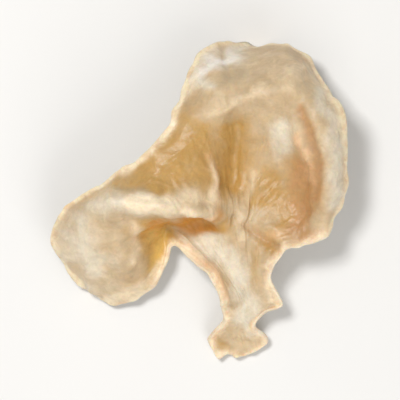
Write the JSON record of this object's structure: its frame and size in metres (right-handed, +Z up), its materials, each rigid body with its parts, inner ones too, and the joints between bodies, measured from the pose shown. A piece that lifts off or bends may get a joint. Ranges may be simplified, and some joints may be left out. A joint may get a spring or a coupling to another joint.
{
  "type": "dried snow fungus ear",
  "caption": "One dried ear of pale edible fungus: a leathery sheet with a pinched foot, a rimmed bowl and a folded side wing, lying on its underside.",
  "frame": {"origin": "middle of the ear's box, on the surface that it rests on", "axes": "+Z up, +Y from the foot to the crown of the ear, +X to the right when it is seen from above with its foot below"},
  "size_m": [0.0426, 0.0458, 0.0145],
  "materials": {
    "dried_flesh": "dry, satin, cream to gold"
  },
  "bodies": {
    "root": {"fungus": "dried_flesh"}
  },
  "joints": []
}
